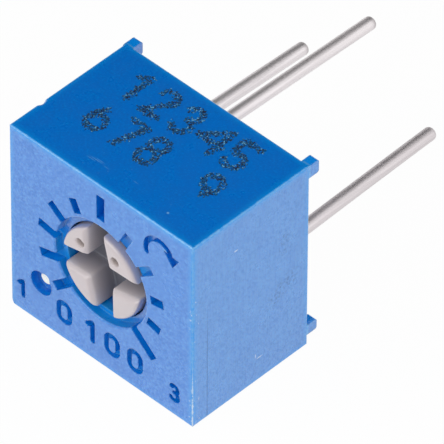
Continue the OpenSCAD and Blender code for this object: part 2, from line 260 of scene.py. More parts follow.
# %% [markdown]
# The table is a plain white sheet. Seen directly, it is nearly as white as the tent, but
# it keeps a share of its real shading, so that the part's soft shadow stays. A matt
# dark card stands high at the back left, where the top side mirrors it: the top keeps
# its deep blue, while the dial and the right side mirror the white table and turn pale.
# Both are single faces given by their corners.

# %% Table and card
def flat_piece(name, corners, material):
    """One four-cornered face, marked as part of the stage; corners in mm."""
    mesh = bpy.data.meshes.new(name)
    mesh.from_pydata((np.array(corners) * MM).tolist(), [], [(0, 1, 2, 3)])
    mesh.materials.append(material)
    piece = bpy.data.objects.new(name, mesh)
    bpy.context.collection.objects.link(piece)
    piece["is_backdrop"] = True
    return piece


SQUARE = np.array([[-1, -1], [1, -1], [1, 1], [-1, 1]])
TABLE_HALF, SEEN_WHITE = 400, 0.97
CARD_HALF, CARD_AWAY = 37.0, 62.0
CARD_AZIMUTH, CARD_ELEVATION = math.radians(217), math.radians(50)
sheet = bpy.data.materials.new("white_sheet")
tree = fresh_tree(sheet)
matt = put(tree, "ShaderNodeBsdfDiffuse", {"Color": rgb(0.90, 0.90, 0.91)})
glow = put(tree, "ShaderNodeEmission", {"Strength": 1.0})
share = times(tree, seen_directly(tree), SEEN_WHITE)
mixed = put(tree, "ShaderNodeMixShader", {0: share, 1: matt.outputs[0], 2: glow.outputs[0]})
put(tree, "ShaderNodeOutputMaterial", {"Surface": mixed.outputs[0]})
flat_piece("table", np.column_stack([SQUARE * TABLE_HALF, np.zeros(4)]), sheet)

dark = bpy.data.materials.new("dark_card")
tree = fresh_tree(dark)
card_matt = put(tree, "ShaderNodeBsdfDiffuse", {"Color": rgb(0.005, 0.005, 0.005)})
put(tree, "ShaderNodeOutputMaterial", {"Surface": card_matt.outputs[0]})
card_axes = view_axes(CARD_AZIMUTH, CARD_ELEVATION)
corners = case_mid + CARD_AWAY * card_axes[2] + CARD_HALF * (
    SQUARE[:, :1] * card_axes[0] + SQUARE[:, 1:] * card_axes[1])
card = flat_piece("card", corners, dark)
card.visible_camera = False
print("card lowest point in mm:", round(float(corners[:, 2].min()), 1))

# %% [markdown]
# Every finish reads Object coordinates. At this size a metre is far too coarse, so one
# group turns them into millimetres, and the patterns below are all in millimetres.

# %% Shared groups
def new_group(name, inputs, outputs):
    """A shader group with named sockets; inputs are (name, type, value)."""
    group = bpy.data.node_groups.new(name, "ShaderNodeTree")
    for label, kind, value in inputs:
        socket = group.interface.new_socket(label, in_out="INPUT", socket_type=kind)
        socket.default_value = value
    for label, kind in outputs:
        group.interface.new_socket(label, in_out="OUTPUT", socket_type=kind)
    source = group.nodes.new("NodeGroupInput").outputs
    target = group.nodes.new("NodeGroupOutput").inputs
    return group, source, target


def use(tree, group, **inputs):
    """Places a group in a tree; an underscore in an input's name stands for a space."""
    made = tree.nodes.new("ShaderNodeGroup")
    made.node_tree = group
    for name, value in inputs.items():
        socket = made.inputs[name.replace("_", " ")]
        if isinstance(value, bpy.types.NodeSocket):
            tree.links.new(value, socket)
        else:
            socket.default_value = value
    return made.outputs


FLOAT, VECTOR = "NodeSocketFloat", "NodeSocketVector"
ZERO = (0.0, 0.0, 0.0)

millimetres, _, target = new_group("millimetres", [], [("Place", VECTOR)])
coords = put(millimetres, "ShaderNodeTexCoord").outputs["Object"]
scaled = put(millimetres, "ShaderNodeVectorMath", {0: coords, "Scale": 1 / MM}, operation="SCALE")
millimetres.links.new(scaled.outputs[0], target["Place"])
print("object coordinates are scaled by", round(1 / MM))

# %% [markdown]
# Moulded grain. A steel mould leaves its own fine texture on plastic: a skin of tiny
# bumps, and a broad, very faint unevenness. An image of plastic would have to be laid
# out on every piece. Two noises need no layout: one gives the bumps' height and one a
# mottle that shifts the colour and the gloss a little.

# %% Grain group
grain, source, target = new_group(
    "moulded_grain",
    [("Place", VECTOR, ZERO), ("Size", FLOAT, 0.08)],
    [("Height", FLOAT), ("Mottle", FLOAT)],
)
per_mm = maths(grain, "DIVIDE", 1.0, source["Size"])
fine = noise(grain, source["Place"], per_mm, 3.0)
broad = noise(grain, source["Place"], 1.3, 4.0)
grain.links.new(fine, target["Height"])
grain.links.new(ramp(grain, broad, 0.3, 0.7), target["Mottle"])
print(grain.name, "has", len(grain.nodes), "nodes")

# %% [markdown]
# Edge wear and painted highlight. Parts are tumbled in a bag before they are sold, and
# the corners of a soft plastic box turn pale; the same band also paints a highlight along
# the case's edges. On a box, the distance to the nearest edge is the middle one of the
# three distances to its sides, so it needs no baked map.

# %% Edge wear and painted highlight group
edge_wear_and_highlight, source, target = new_group(
    "edge_wear_and_highlight",
    [("Place", VECTOR, ZERO), ("Low", VECTOR, ZERO), ("High", VECTOR, ZERO),
     ("Width", FLOAT, 0.1), ("Ragged", FLOAT, 0.5)],
    [("Mask", FLOAT)],
)


def apart(tree, first, second):
    """First vector less second, as three numbers."""
    return parts(tree, vector_maths(tree, "SUBTRACT", first, second))


from_low = apart(edge_wear_and_highlight, source["Place"], source["Low"])
from_high = apart(edge_wear_and_highlight, source["High"], source["Place"])
near = [maths(edge_wear_and_highlight, "MINIMUM", from_low[i], from_high[i]) for i in range(3)]
lesser = maths(edge_wear_and_highlight, "MINIMUM", near[0], near[1])
greater = larger(edge_wear_and_highlight, near[0], near[1])
middle = larger(edge_wear_and_highlight, lesser, maths(edge_wear_and_highlight, "MINIMUM", greater, near[2]))
bite = maths(edge_wear_and_highlight, "SUBTRACT", noise(edge_wear_and_highlight, source["Place"], 6.0, 5.0), 0.5)
worn = maths(edge_wear_and_highlight, "ADD", middle, times(edge_wear_and_highlight, bite, source["Ragged"]))
beyond = ramp(edge_wear_and_highlight, worn, 0.0, source["Width"])
edge_wear_and_highlight.links.new(maths(edge_wear_and_highlight, "SUBTRACT", 1.0, beyond, clamp=True), target["Mask"])
print(edge_wear_and_highlight.name, "has", len(edge_wear_and_highlight.nodes), "nodes")

# %% [markdown]
# Flecks. Specks of dust, pits and bubbles are small round marks strewn at random. Each
# cell of a pattern holds one about its own middle, and only the cells whose random
# number is low are kept. Fineness is the number of cells in a millimetre, and a mark
# fades to nothing at its radius, which is in cells.

# %% Fleck group
flecks, source, target = new_group(
    "flecks",
    [("Place", VECTOR, ZERO), ("Fineness", FLOAT, 1.0), ("Keep", FLOAT, 0.1),
     ("Radius", FLOAT, 0.3)],
    [("Mask", FLOAT)],
)
cells = put(flecks, "ShaderNodeTexVoronoi", {
    "Vector": source["Place"], "Scale": source["Fineness"]})
number = put(flecks, "ShaderNodeSeparateColor", {0: cells.outputs["Color"]}).outputs[0]
kept = maths(flecks, "LESS_THAN", number, source["Keep"])
away = ramp(flecks, cells.outputs["Distance"], 0.0, source["Radius"])
inside = maths(flecks, "SUBTRACT", 1.0, away)
flecks.links.new(times(flecks, kept, inside), target["Mask"])
print(flecks.name, "has", len(flecks.nodes), "nodes")

# %% [markdown]
# Some marks sit in one place, such as the torn gate or a scratch. A spot is 1 inside an
# ellipsoid about a centre and falls to 0 at its edge. Its spread is the ellipsoid's
# three half-widths in millimetres.

# %% Spot group
spot, source, target = new_group(
    "spot",
    [("Place", VECTOR, ZERO), ("Centre", VECTOR, ZERO), ("Spread", VECTOR, (1.0, 1.0, 1.0)),
     ("Softness", FLOAT, 0.4)],
    [("Mask", FLOAT)],
)
away = vector_maths(spot, "SUBTRACT", source["Place"], source["Centre"])
shares = vector_maths(spot, "DIVIDE", away, source["Spread"])
reach = put(spot, "ShaderNodeVectorMath", {0: shares}, operation="LENGTH").outputs["Value"]
start = maths(spot, "SUBTRACT", 1.0, source["Softness"])
outside = ramp(spot, reach, start, 1.0)
spot.links.new(maths(spot, "SUBTRACT", 1.0, outside, clamp=True), target["Mask"])
print(spot.name, "has", len(spot.nodes), "nodes")

# %% [markdown]
# Streaks. A wall that slides out of a steel mould, or a wire that is drawn through a
# die, keeps fine lines along the way it moved. A noise that is squeezed across the
# lines and stretched along them gives such streaks.

# %% Streak group
streaks, source, target = new_group(
    "streaks",
    [("Place", VECTOR, ZERO), ("Squeeze", VECTOR, (20.0, 20.0, 0.5))],
    [("Lines", FLOAT)],
)
squeezed = vector_maths(streaks, "MULTIPLY", source["Place"], source["Squeeze"])
lines = noise(streaks, squeezed, 1.0, 3.0)
streaks.links.new(ramp(streaks, lines, 0.3, 0.7), target["Lines"])
print("shared groups:", [group.name for group in bpy.data.node_groups])

# %% [markdown]
# A finish begins with an empty material and the place in millimetres, and ends with one
# shader. These helpers do both, and give the masks in between.

# %% Finish helpers
def start_finish(name):
    """A new material; gives it, its empty tree and the place in millimetres."""
    material = bpy.data.materials.new(name)
    tree = fresh_tree(material)
    return material, tree, use(tree, millimetres)["Place"]


def bumped(tree, height, microns, normal=None):
    """Normal of a surface whose height runs over so many thousandths of a millimetre."""
    inputs = {"Height": height, "Distance": microns * 1e-6, "Strength": 1.0}
    if normal is not None:
        inputs["Normal"] = normal
    return put(tree, "ShaderNodeBump", inputs).outputs["Normal"]


def spot_mask(tree, place, centre, spread, softness):
    """Mask of one spot; its centre and its half-widths are in mm."""
    return use(tree, spot, Place=place, Centre=centre, Spread=spread, Softness=softness)["Mask"]


def fleck_mask(tree, place, fineness, keep, radius):
    """Mask of strewn flecks: fineness cells to a mm, of which a share is kept."""
    return use(tree, flecks, Place=place, Fineness=fineness, Keep=keep, Radius=radius)["Mask"]


def normal_parts(tree):
    """X, Y and Z of the piece's own normal, which turn with it as its coordinates do."""
    return parts(tree, put(tree, "ShaderNodeTexCoord").outputs["Normal"])


def end_finish(tree, inputs):
    """Closes a material with a Principled shader that has these inputs."""
    shader = put(tree, "ShaderNodeBsdfPrincipled", inputs)
    put(tree, "ShaderNodeOutputMaterial", {"Surface": shader.outputs[0]})


def wear(node_name, material):
    """Gives a node of the model a finish in place of its own."""
    slots = nodes[node_name].data.materials
    slots.clear()
    slots.append(material)


# %% [markdown]
# The blue case. It is a moulding of polyester filled with glass, with a satin skin and a
# fine grain. The colour drifts a little with the mottle, and the glass gives it a
# speckle of lighter and darker blue. The right side, along which a slide of the mould
# was drawn, is chalkier and has upright streaks. One image could be painted for the
# whole case. Here masks made from places in millimetres are laid over one another
# instead, so that every mark can be moved by changing a number.

# %% Case finish: colour
BLUE, DEEP_BLUE = rgb(0.000, 0.184, 0.71), rgb(0.000, 0.167, 0.67)
LIGHT_BLUE, SHADE_BLUE = rgb(0.000, 0.270, 0.80), rgb(0.000, 0.060, 0.26)
PALE_BLUE = rgb(0.20, 0.48, 0.80)
case_finish, tree, place = start_finish("case_plastic")
skin = use(tree, grain, Place=place, Size=0.07)
sides = parts(tree, place)
on_right = ramp(tree, sides["X"], case_high[0] - 0.02, case_high[0] - 0.01)
upright = use(tree, streaks, Place=place, Squeeze=(22.0, 22.0, 0.7))["Lines"]
streak = times(tree, upright, on_right)
chalky = maths(tree, "ADD", times(tree, on_right, 0.10), times(tree, streak, 0.18))
glass = noise(tree, place, 15.0, 3.0)
colour = blend_colour(tree, skin["Mottle"], BLUE, DEEP_BLUE)
colour = blend_colour(tree, chalky, colour, PALE_BLUE)
colour = blend_colour(tree, ramp(tree, glass, 0.50, 0.70, 0.0, 0.70), colour, LIGHT_BLUE)
colour = blend_colour(tree, ramp(tree, glass, 0.50, 0.30, 0.0, 0.20), colour, SHADE_BLUE)
print("case finish nodes:", len(tree.nodes))

# %% [markdown]
# The feet stand behind the block of the case, and their upper faces are painted the
# lightest blue on it, a painted highlight on faces that look up. The block is also
# painted lighter in a band along its edges, a painted highlight. The band is measured
# from the sides of a box round the block alone, so that the feet are kept out of it.

# %% Case finish: feet and edges
FOOT_TOP_HIGHLIGHT = rgb(0.000, 0.290, 0.92)
BLOCK_DEEP = 4.55
low_corner = tuple(case_low)
high_corner = (case_high[0], dial_y + BLOCK_DEEP, top_z)
right_x = high_corner[0]
on_block = ramp(tree, sides["Y"], high_corner[1] + 0.03, high_corner[1])
on_feet = ramp(tree, on_block, 1.0, 0.0, 0.0, 0.85)
# Painted highlight: the feet's upward faces are painted lighter.
foot_top_highlight = times(tree, on_feet, ramp(tree, normal_parts(tree)["Z"], 0.5, 0.9))
colour = blend_colour(tree, foot_top_highlight, colour, FOOT_TOP_HIGHLIGHT)


def along_edges(width, ragged):
    """Mask of a band along the edges of the case's block; width and ragged in mm."""
    band = use(tree, edge_wear_and_highlight, Place=place, Low=low_corner, High=high_corner,
               Width=width, Ragged=ragged)
    return times(tree, band["Mask"], on_block)


# Painted highlight: a lighter band along the block's edges.
colour = blend_colour(tree, along_edges(0.26, 0.03), colour, LIGHT_BLUE)
print("case block in mm:", np.round(low_corner, 2), "to", np.round(high_corner, 2))

# %% [markdown]
# The marks, the numerals and the well round the rotor are sunk into the dial. They are
# duller than the face, as the raised parts of a mould are hard to polish. They are also
# painted a little lighter than the face, a painted fill light against the shade in them,
# weakest at the top of the dial. Two stretches of the well's wall, upper left and lower
# right, stay as glossy as the face and keep its colour. The mask is the depth behind the
# face, so that it follows whatever is sunk into the model.

# %% Case finish: hollows of the dial
LIT_HOLLOW_BLUE = rgb(0.000, 0.250, 0.74)
NUMERALS = ((-2.98, dial_z - 2.62), (2.87, dial_z - 2.80))
engraved = spot_mask(tree, place, (0.0, dial_y, dial_z), (3.30, 0.6, 3.30), 0.02)
for corner_x, corner_z in NUMERALS:
    numeral = spot_mask(tree, place, (corner_x, dial_y, corner_z), (0.46, 0.6, 0.60), 0.02)
    engraved = larger(tree, engraved, numeral)
sunk = times(tree, ramp(tree, sides["Y"], dial_y + 0.02, dial_y + 0.10), engraved)
well = spot_mask(tree, place, (-0.02, dial_y, dial_z + 0.11), (1.84, 3.0, 1.84), 0.03)
leftward = ramp(tree, sides["X"], -0.2, -0.6)
rightward = ramp(tree, sides["X"], 0.85, 1.15)
upper = ramp(tree, sides["Z"], dial_z + 0.15, dial_z + 0.5)
lower = ramp(tree, sides["Z"], dial_z + 0.3, dial_z - 0.1)
glossy = larger(tree, times(tree, leftward, upper), times(tree, rightward, lower))
sunk = maths(tree, "SUBTRACT", sunk, times(tree, well, glossy), clamp=True)
# Painted fill light: the hollows are painted lighter than the face, least at the top.
less_at_top = ramp(tree, sides["Z"], dial_z + 1.3, dial_z + 1.0, 0.25, 1.0)
colour = blend_colour(tree, times(tree, sunk, less_at_top), colour, LIT_HOLLOW_BLUE)
print("numerals in the hollows:", len(NUMERALS))

# %% [markdown]
# Wear and painted highlight. Every edge is worn pale in an uneven line, partly wear and
# partly a painted highlight. The upright edge between the dial and the right side took
# knocks: two stretches of it are chipped, where a noise is high enough, and the crest of
# its lower half is whitened.

# %% Case finish: worn and highlighted edges
CHIPPED = ((0.5, 0.26, 1.7, 0.60), (3.7, 0.20, 1.5, 0.62))
# The pale edge line is partly wear and partly a painted highlight.
rubbed_and_highlight = along_edges(0.07, 0.16)
rough = noise(tree, place, 8.0, 3.0)
chips = 0.0
for middle_z, half_y, half_z, least in CHIPPED:
    area = spot_mask(tree, place, (right_x, dial_y + 0.08, middle_z), (0.20, half_y, half_z), 0.6)
    chips = larger(tree, chips, times(tree, area, ramp(tree, rough, least, least + 0.06)))
crest = spot_mask(tree, place, (right_x, dial_y, 0.5), (0.05, 0.05, 2.6), 0.5)
crest = times(tree, crest, ramp(tree, rough, 0.36, 0.52))
white = larger(tree, times(tree, chips, 0.50), times(tree, crest, 0.70))
print("chipped stretches:", len(CHIPPED))

# %% [markdown]
# The top side has hairline scratches close behind the dial's edge, pale specks that are
# thickest there too, and one larger grain of dust. Each scratch is a long thin spot,
# given by its middle's X and distance behind the dial, half its length and half its
# width.

# %% Case finish: top side
SCRATCHES = (
    (-0.80, 0.67, 0.36, 0.016), (-0.70, 0.72, 0.26, 0.013), (-0.95, 0.61, 0.24, 0.013),
    (-0.40, 0.64, 0.15, 0.012), (0.58, 0.785, 0.15, 0.014),
)
on_top = ramp(tree, sides["Z"], top_z - 0.03, top_z - 0.01)
scratched = 0.0
for middle_x, behind, half, thin in SCRATCHES:
    scratch = spot_mask(tree, place, (middle_x, dial_y + behind, top_z), (half, thin, 0.1), 0.9)
    scratched = larger(tree, scratched, scratch)
specks = times(tree, fleck_mask(tree, place, 7.0, 0.22, 0.26), on_top)
near_dial = spot_mask(tree, place, (0.2, dial_y + 0.75, top_z), (3.6, 0.9, 1.0), 0.8)
specks = times(tree, specks, maths(tree, "ADD", near_dial, 0.15))
dust = spot_mask(tree, place, (2.03, dial_y + 0.54, top_z), (0.055, 0.055, 0.1), 0.9)
pale = larger(tree, times(tree, rubbed_and_highlight, 0.45), times(tree, scratched, 0.65))
pale = larger(tree, pale, times(tree, specks, 0.25))
colour = blend_colour(tree, larger(tree, pale, dust), colour, PALE_BLUE)
print("scratches:", len(SCRATCHES))

# %% [markdown]
# The gate, where the plastic was broken off its runner, is a white disc on the dial. The
# right side has three nicks, each given by its distances behind the dial and below the
# top, its half-widths along Y and Z, and how white it is.

# %% Case finish: nicks and gate
WHITENED = rgb(0.92, 0.92, 0.90)
NICKS = (
    (1.67, 1.22, 0.11, 0.035, 0.6), (2.47, 5.80, 0.03, 0.12, 0.5),
    (2.62, 5.93, 0.17, 0.035, 0.5),
)
GATE = (-2.15, dial_y + 0.04, dial_z - 1.57)
for behind, below, half_y, half_z, strength in NICKS:
    centre = (right_x, dial_y + behind, top_z - below)
    nick = spot_mask(tree, place, centre, (0.1, half_y, half_z), 0.8)
    white = larger(tree, white, times(tree, nick, strength))
white = larger(tree, white, spot_mask(tree, place, GATE, (0.225, 0.07, 0.225), 0.15))
colour = blend_colour(tree, white, colour, WHITENED)
print("nicks:", len(NICKS))

# %% [markdown]
# Dark marks on the right side. One is the line where two halves of the mould met, close
# behind the dial, which fades out upwards. The others are pits, strewn thinly over the
# back of the side and crowded in four clouds, each given by its distances behind the
# dial and below the top and its half-widths along Y and Z.

# %% Case finish: dark marks
PARTING = dial_y + 0.57
CLOUDS = (
    (3.82, 3.72, 0.36, 0.42), (3.46, 3.90, 0.36, 0.46), (3.18, 4.12, 0.32, 0.40),
    (3.55, 2.20, 0.28, 0.55),
)
off_line = maths(tree, "ABSOLUTE", maths(tree, "SUBTRACT", sides["Y"], PARTING))
line = times(tree, ramp(tree, off_line, 0.022, 0.008), ramp(tree, sides["Z"], 4.6, 2.6))
wide = spot_mask(tree, place, (right_x, dial_y + 3.4, top_z - 3.2), (0.4, 1.1, 1.9), 0.9)
pitted = times(tree, fleck_mask(tree, place, 11.0, 0.34, 0.34), wide)
crowd = fleck_mask(tree, place, 12.0, 0.55, 0.95)
for behind, below, half_y, half_z in CLOUDS:
    centre = (right_x, dial_y + behind, top_z - below)
    cloud = spot_mask(tree, place, centre, (0.4, half_y, half_z), 0.6)
    pitted = larger(tree, pitted, times(tree, crowd, cloud))
dark = larger(tree, times(tree, line, 0.6), times(tree, pitted, 0.65))
dark = times(tree, dark, on_right)
colour = blend_colour(tree, dark, colour, SHADE_BLUE)
print("clouds of pits:", len(CLOUDS))

# %% [markdown]
# The shader. The skin has a coat over it, which the white and dark marks, the hollows
# and the streaks take away and the glass makes uneven. The bump holds the grain, the
# streaks and the dark marks, over edges that the shading rounds a little.

# %% Case finish: shader
EDGE_ROUND = 0.06
rounded = put(tree, "ShaderNodeBevel", {"Radius": EDGE_ROUND * MM}, samples=6).outputs["Normal"]
height = maths(tree, "ADD", skin["Height"], times(tree, streak, 0.5))
height = maths(tree, "SUBTRACT", height, times(tree, dark, 2.0))
marked = larger(tree, white, larger(tree, dark, sunk))
gloss = ramp(tree, marked, 0.0, 1.0, 1.0, 0.15)
gloss = times(tree, gloss, ramp(tree, glass, 0.34, 0.66, 0.50, 1.0))
gloss = times(tree, gloss, maths(tree, "SUBTRACT", 1.0, times(tree, streak, 0.20)))
end_finish(tree, {
    "Base Color": colour, "IOR": 1.7, "Specular Tint": rgb(0.60, 1.0, 0.84),
    "Coat Weight": gloss, "Coat IOR": 1.67,
    "Roughness": ramp(tree, skin["Mottle"], 0.0, 1.0, 0.27, 0.34),
    "Normal": bumped(tree, height, 0.7, rounded)})
wear("housing", case_finish)
print("case finish nodes:", len(tree.nodes))

# %% [markdown]
# The pieces inside the case need simpler finishes: two tones that a mottle drifts
# between, a grain in the bump and the roughness, and Metallic at 1 for the metals. The
# seal is silicone rubber, the plate alumina with a cermet track and silver pads, the
# spring a copper alloy, and each pin is soldered on.

# %% Grained finishes
def grained(name, light, shade, rough, size, microns, **fixed):
    """A finish that drifts between two tones; rough is its lowest and highest
    roughness, size the grain's in mm and microns its height."""
    material, tree, place = start_finish(name)
    skin = use(tree, grain, Place=place, Size=size)
    colour = blend_colour(tree, skin["Mottle"], rgb(*light), rgb(*shade))
    inputs = {"Base Color": colour, "Roughness": ramp(tree, skin["Height"], 0.3, 0.7, *rough),
              "Normal": bumped(tree, skin["Height"], microns)}
    inputs.update({label.replace("_", " "): value for label, value in fixed.items()})
    end_finish(tree, inputs)
    return material


rubber = grained("seal_rubber", (0.45, 0.10, 0.06), (0.38, 0.08, 0.05), (0.5, 0.7), 0.05, 0.6)
alumina = grained("alumina", (0.85, 0.83, 0.78), (0.80, 0.78, 0.73), (0.5, 0.7), 0.03, 0.8)
cermet = grained("cermet_film", (0.05, 0.05, 0.055), (0.035, 0.035, 0.04), (0.45, 0.6), 0.03, 0.5)
silver = grained(
    "silver_film", (0.70, 0.69, 0.66), (0.62, 0.61, 0.58), (0.3, 0.45), 0.03, 0.5, Metallic=1.0)
alloy = grained(
    "spring_alloy", (0.72, 0.60, 0.38), (0.66, 0.55, 0.36), (0.2, 0.32), 0.05, 0.3, Metallic=1.0)
joint_metal = grained(
    "solder", (0.62, 0.62, 0.63), (0.55, 0.55, 0.56), (0.25, 0.4), 0.08, 0.8, Metallic=1.0)
INNER = {
    "o_ring": rubber, "substrate": alumina, "resistive_track": cermet, "end_pad_1": silver,
    "end_pad_3": silver, "collector": silver, "contact_spring": alloy,
    "solder_1": joint_metal, "solder_2": joint_metal, "solder_3": joint_metal,
}
for name, material in INNER.items():
    wear(name, material)
print("pieces with a grained finish:", len(INNER))

# %% [markdown]
# The rotor is grey polyester with a faint pink warmth. Its side walls near the face of the
# dial are painted a lighter grey, a painted highlight for the light that passes through
# their thin rims. The grey darkens with the depth behind the dial, a painted shade for the
# deep, narrow slot, and the slot's floor has the darkest painted shade. Light alone would
# leave the slot too bright. Two ejector pins of the mould have left dimples, which turn
# with the rotor; they have a brownish painted shade.

# %% Rotor finish
GREY, WARM_GREY = rgb(0.57, 0.505, 0.515), rgb(0.60, 0.525, 0.530)
LIT_GREY, DEPTH_SHADE_GREY = rgb(0.82, 0.75, 0.74), rgb(0.255, 0.245, 0.275)
FLOOR_SHADE_GREY, DIMPLE_SHADE_BROWN = rgb(0.115, 0.120, 0.145), rgb(0.20, 0.15, 0.12)
AXIS_X, AXIS_Z = -0.06, dial_z + 0.03
HEAD_R = 1.42
DIMPLE_AT, DIMPLE_R, DIMPLE_ANGLES = 1.01, 0.165, (55.8, 139.0)
rotor_finish, tree, place = start_finish("rotor_plastic")
skin = use(tree, grain, Place=place, Size=0.06)
behind = maths(tree, "SUBTRACT", parts(tree, place)["Y"], dial_y)
facing = normal_parts(tree)["Y"]
colour = blend_colour(tree, skin["Mottle"], WARM_GREY, GREY)
on_head = spot_mask(tree, place, (AXIS_X, dial_y, AXIS_Z), (HEAD_R, 9.0, HEAD_R), 0.04)
# Painted highlight: side walls near the dial's face are painted a lighter grey.
lit_wall = times(tree, ramp(tree, facing, -0.60, -0.10), on_head)
lit_wall = times(tree, lit_wall, ramp(tree, behind, 0.45, 0.0))
colour = blend_colour(tree, lit_wall, colour, LIT_GREY)
# Painted shade: the grey darkens with the depth behind the dial.
colour = blend_colour(tree, ramp(tree, behind, 0.05, 0.85), colour, DEPTH_SHADE_GREY)
# Painted shade: the slot's floor is painted darkest.
slot_floor_shade = times(tree, ramp(tree, facing, -0.10, -0.70), ramp(tree, behind, 0.5, 0.7))
colour = blend_colour(tree, times(tree, slot_floor_shade, 0.75), colour, FLOOR_SHADE_GREY)
# Painted shade: the dimples are darkened to a brownish tone.
for degrees in DIMPLE_ANGLES:
    angle = math.radians(degrees)
    dimple_x = AXIS_X + DIMPLE_AT * math.cos(angle)
    dimple_z = AXIS_Z + DIMPLE_AT * math.sin(angle)
    spread = (DIMPLE_R, 0.20, DIMPLE_R)
    dimple = spot_mask(tree, place, (dimple_x, dial_y + 0.14, dimple_z), spread, 0.3)
    colour = blend_colour(tree, times(tree, dimple, 0.85), colour, DIMPLE_SHADE_BROWN)
end_finish(tree, {
    "Base Color": colour, "IOR": 1.6, "Coat Weight": ramp(tree, behind, 0.1, 0.6, 1.0, 0.0),
    "Roughness": ramp(tree, skin["Height"], 0.3, 0.7, 0.28, 0.40),
    "Normal": bumped(tree, skin["Height"], 0.8)})
wear("rotor", rotor_finish)
print("rotor finish nodes:", len(tree.nodes))

# %% [markdown]
# The rotor's head is moulded with soft edges everywhere. The model's edges are crisp. A
# Bevel modifier works best on even, four-cornered faces, and the model's are long
# triangles. So a copy of the mesh is rebuilt from cells of under 0.03 mm and smoothed,
# which rounds every edge at once. The copy stands for the crisp one.

# %% Rotor with soft edges
SAME_PLACE = 1e-7


def bake_modifiers(obj):
    """Puts the result of an object's modifiers into its mesh and drops them."""
    bpy.context.view_layer.update()
    shaped = obj.evaluated_get(bpy.context.evaluated_depsgraph_get())
    obj.data = bpy.data.meshes.new_from_object(shaped)
    obj.modifiers.clear()
    return obj


def soft_copy(name, node_name, cell, passes):
    """A copy of a node, rebuilt from cubic cells of a size in mm and smoothed in so many
    passes. Corners that lie on one another are first joined, so that it is closed."""
    work = bmesh.new()
    work.from_mesh(nodes[node_name].data)
    bmesh.ops.remove_doubles(work, verts=work.verts, dist=SAME_PLACE)
    mesh = bpy.data.meshes.new(name)
    work.to_mesh(mesh)
    work.free()
    piece = bpy.data.objects.new(name, mesh)
    bpy.context.collection.objects.link(piece)
    cells = piece.modifiers.new("cells", "REMESH")
    cells.mode, cells.voxel_size, cells.use_smooth_shade = "VOXEL", cell * MM, True
    smooth = piece.modifiers.new("smooth", "SMOOTH")
    smooth.factor, smooth.iterations = 0.5, passes
    bake_modifiers(piece)
    print(name, "has", len(piece.data.polygons), "faces")
    return piece


head = soft_copy("rotor_soft", "rotor", cell=0.028, passes=18)
head.data.materials.clear()
head.data.materials.append(rotor_finish)
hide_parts("rotor")
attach(head, "turning_group")

# %% [markdown]
# New surfaces are arrays of points in millimetres. One helper makes a smooth mesh of
# points and faces, and another gives the four-cornered faces of a grid, which look one
# way or, flipped, the other.

# %% New pieces
def make_piece(name, points, faces, material):
    """A smooth mesh of points[n, 3] in mm."""
    mesh = bpy.data.meshes.new(name)
    mesh.from_pydata((points * MM).tolist(), [], faces)
    mesh.polygons.foreach_set("use_smooth", np.ones(len(mesh.polygons), dtype=bool))
    mesh.materials.append(material)
    piece = bpy.data.objects.new(name, mesh)
    bpy.context.collection.objects.link(piece)
    print(name, "has", len(faces), "faces")
    return piece


def grid_faces(index, flip=False):
    """Faces between the neighbours of a grid of point numbers, index[row, column]."""
    faces = np.stack([index[:-1, :-1], index[:-1, 1:], index[1:, 1:], index[1:, :-1]], axis=-1)
    faces = faces.reshape(-1, 4)
    return faces[:, [0, 3, 2, 1]] if flip else faces


# %% [markdown]
# The pins are tinned copper wire. Drawing leaves lines along them and the tin gives a
# bright, slightly rough skin. The third pin's tin is duller. The ends are darker, where
# the cropping has dragged the tin over the copper.

# %% Pin finish
TIN, DRAWN_TIN = rgb(0.83, 0.79, 0.80), rgb(0.75, 0.71, 0.72)
DULL_TIN, CUT_TIN = rgb(0.56, 0.515, 0.53), rgb(0.36, 0.33, 0.34)
WIRE_END = float(box_mm("pin_1")[1][1])
pin_finish, tree, place = start_finish("tinned_wire")
drawn = use(tree, streaks, Place=place, Squeeze=(16.0, 0.25, 16.0))["Lines"]
skin = use(tree, grain, Place=place, Size=0.12)
sides = parts(tree, place)
colour = blend_colour(tree, drawn, TIN, DRAWN_TIN)
third_pin = ramp(tree, sides["X"], 1.0, 2.0)
colour = blend_colour(tree, times(tree, third_pin, 0.45), colour, DULL_TIN)
cropped = ramp(tree, sides["Y"], WIRE_END - 0.22, WIRE_END - 0.04)
colour = blend_colour(tree, times(tree, cropped, 0.6), colour, CUT_TIN)
height = maths(tree, "ADD", drawn, times(tree, skin["Height"], 0.35))
end_finish(tree, {
    "Base Color": colour, "Metallic": 1.0, "Roughness": ramp(tree, drawn, 0.0, 1.0, 0.50, 0.58),
    "Normal": bumped(tree, height, 1.2)})
print("wires end at y in mm:", round(WIRE_END, 2))

# %% [markdown]
# Each pin is a circle carried along a path. A bevelled curve would make a plain wire, but
# rows of circles also give a short swelled root inside the potting and a tip that
# cropping has rounded. The radii of wire and root, and where the root ends, are the
# model's. Handling has bent the wires by one or two tenths of a millimetre: two lean,
# and the third dips where it leaves the potting. It is also cropped a tenth shorter.

# %% Wire along a path
PIN_R, ROOT_R, TIP_R = 0.205, 0.235, 0.10
ROOT_END, TIP_LENGTH = -0.67, 0.13
KINK_RISE, KINK_FALL = 0.12, 1.2


def wire_rows(start, end):
    """Places along a wire and its radius at each: a straight cone from the root's radius
    to the wire's, then the wire, then a quarter of an ellipse over the tip."""
    tip_start = end - TIP_LENGTH
    along = np.concatenate([
        np.linspace(start, ROOT_END, 6),
        np.linspace(ROOT_END, tip_start, 60)[1:],
        tip_start + TIP_LENGTH * np.sin(np.linspace(0, math.pi / 2, 8))[1:],
    ])
    radius = np.interp(along, [start, ROOT_END], [ROOT_R, PIN_R])
    tip = np.clip((along - tip_start) / TIP_LENGTH, 0, 1)
    rounded = TIP_R + (PIN_R - TIP_R) * np.sqrt(1 - tip ** 2)
    return along, np.where(tip > 0, rounded, radius)


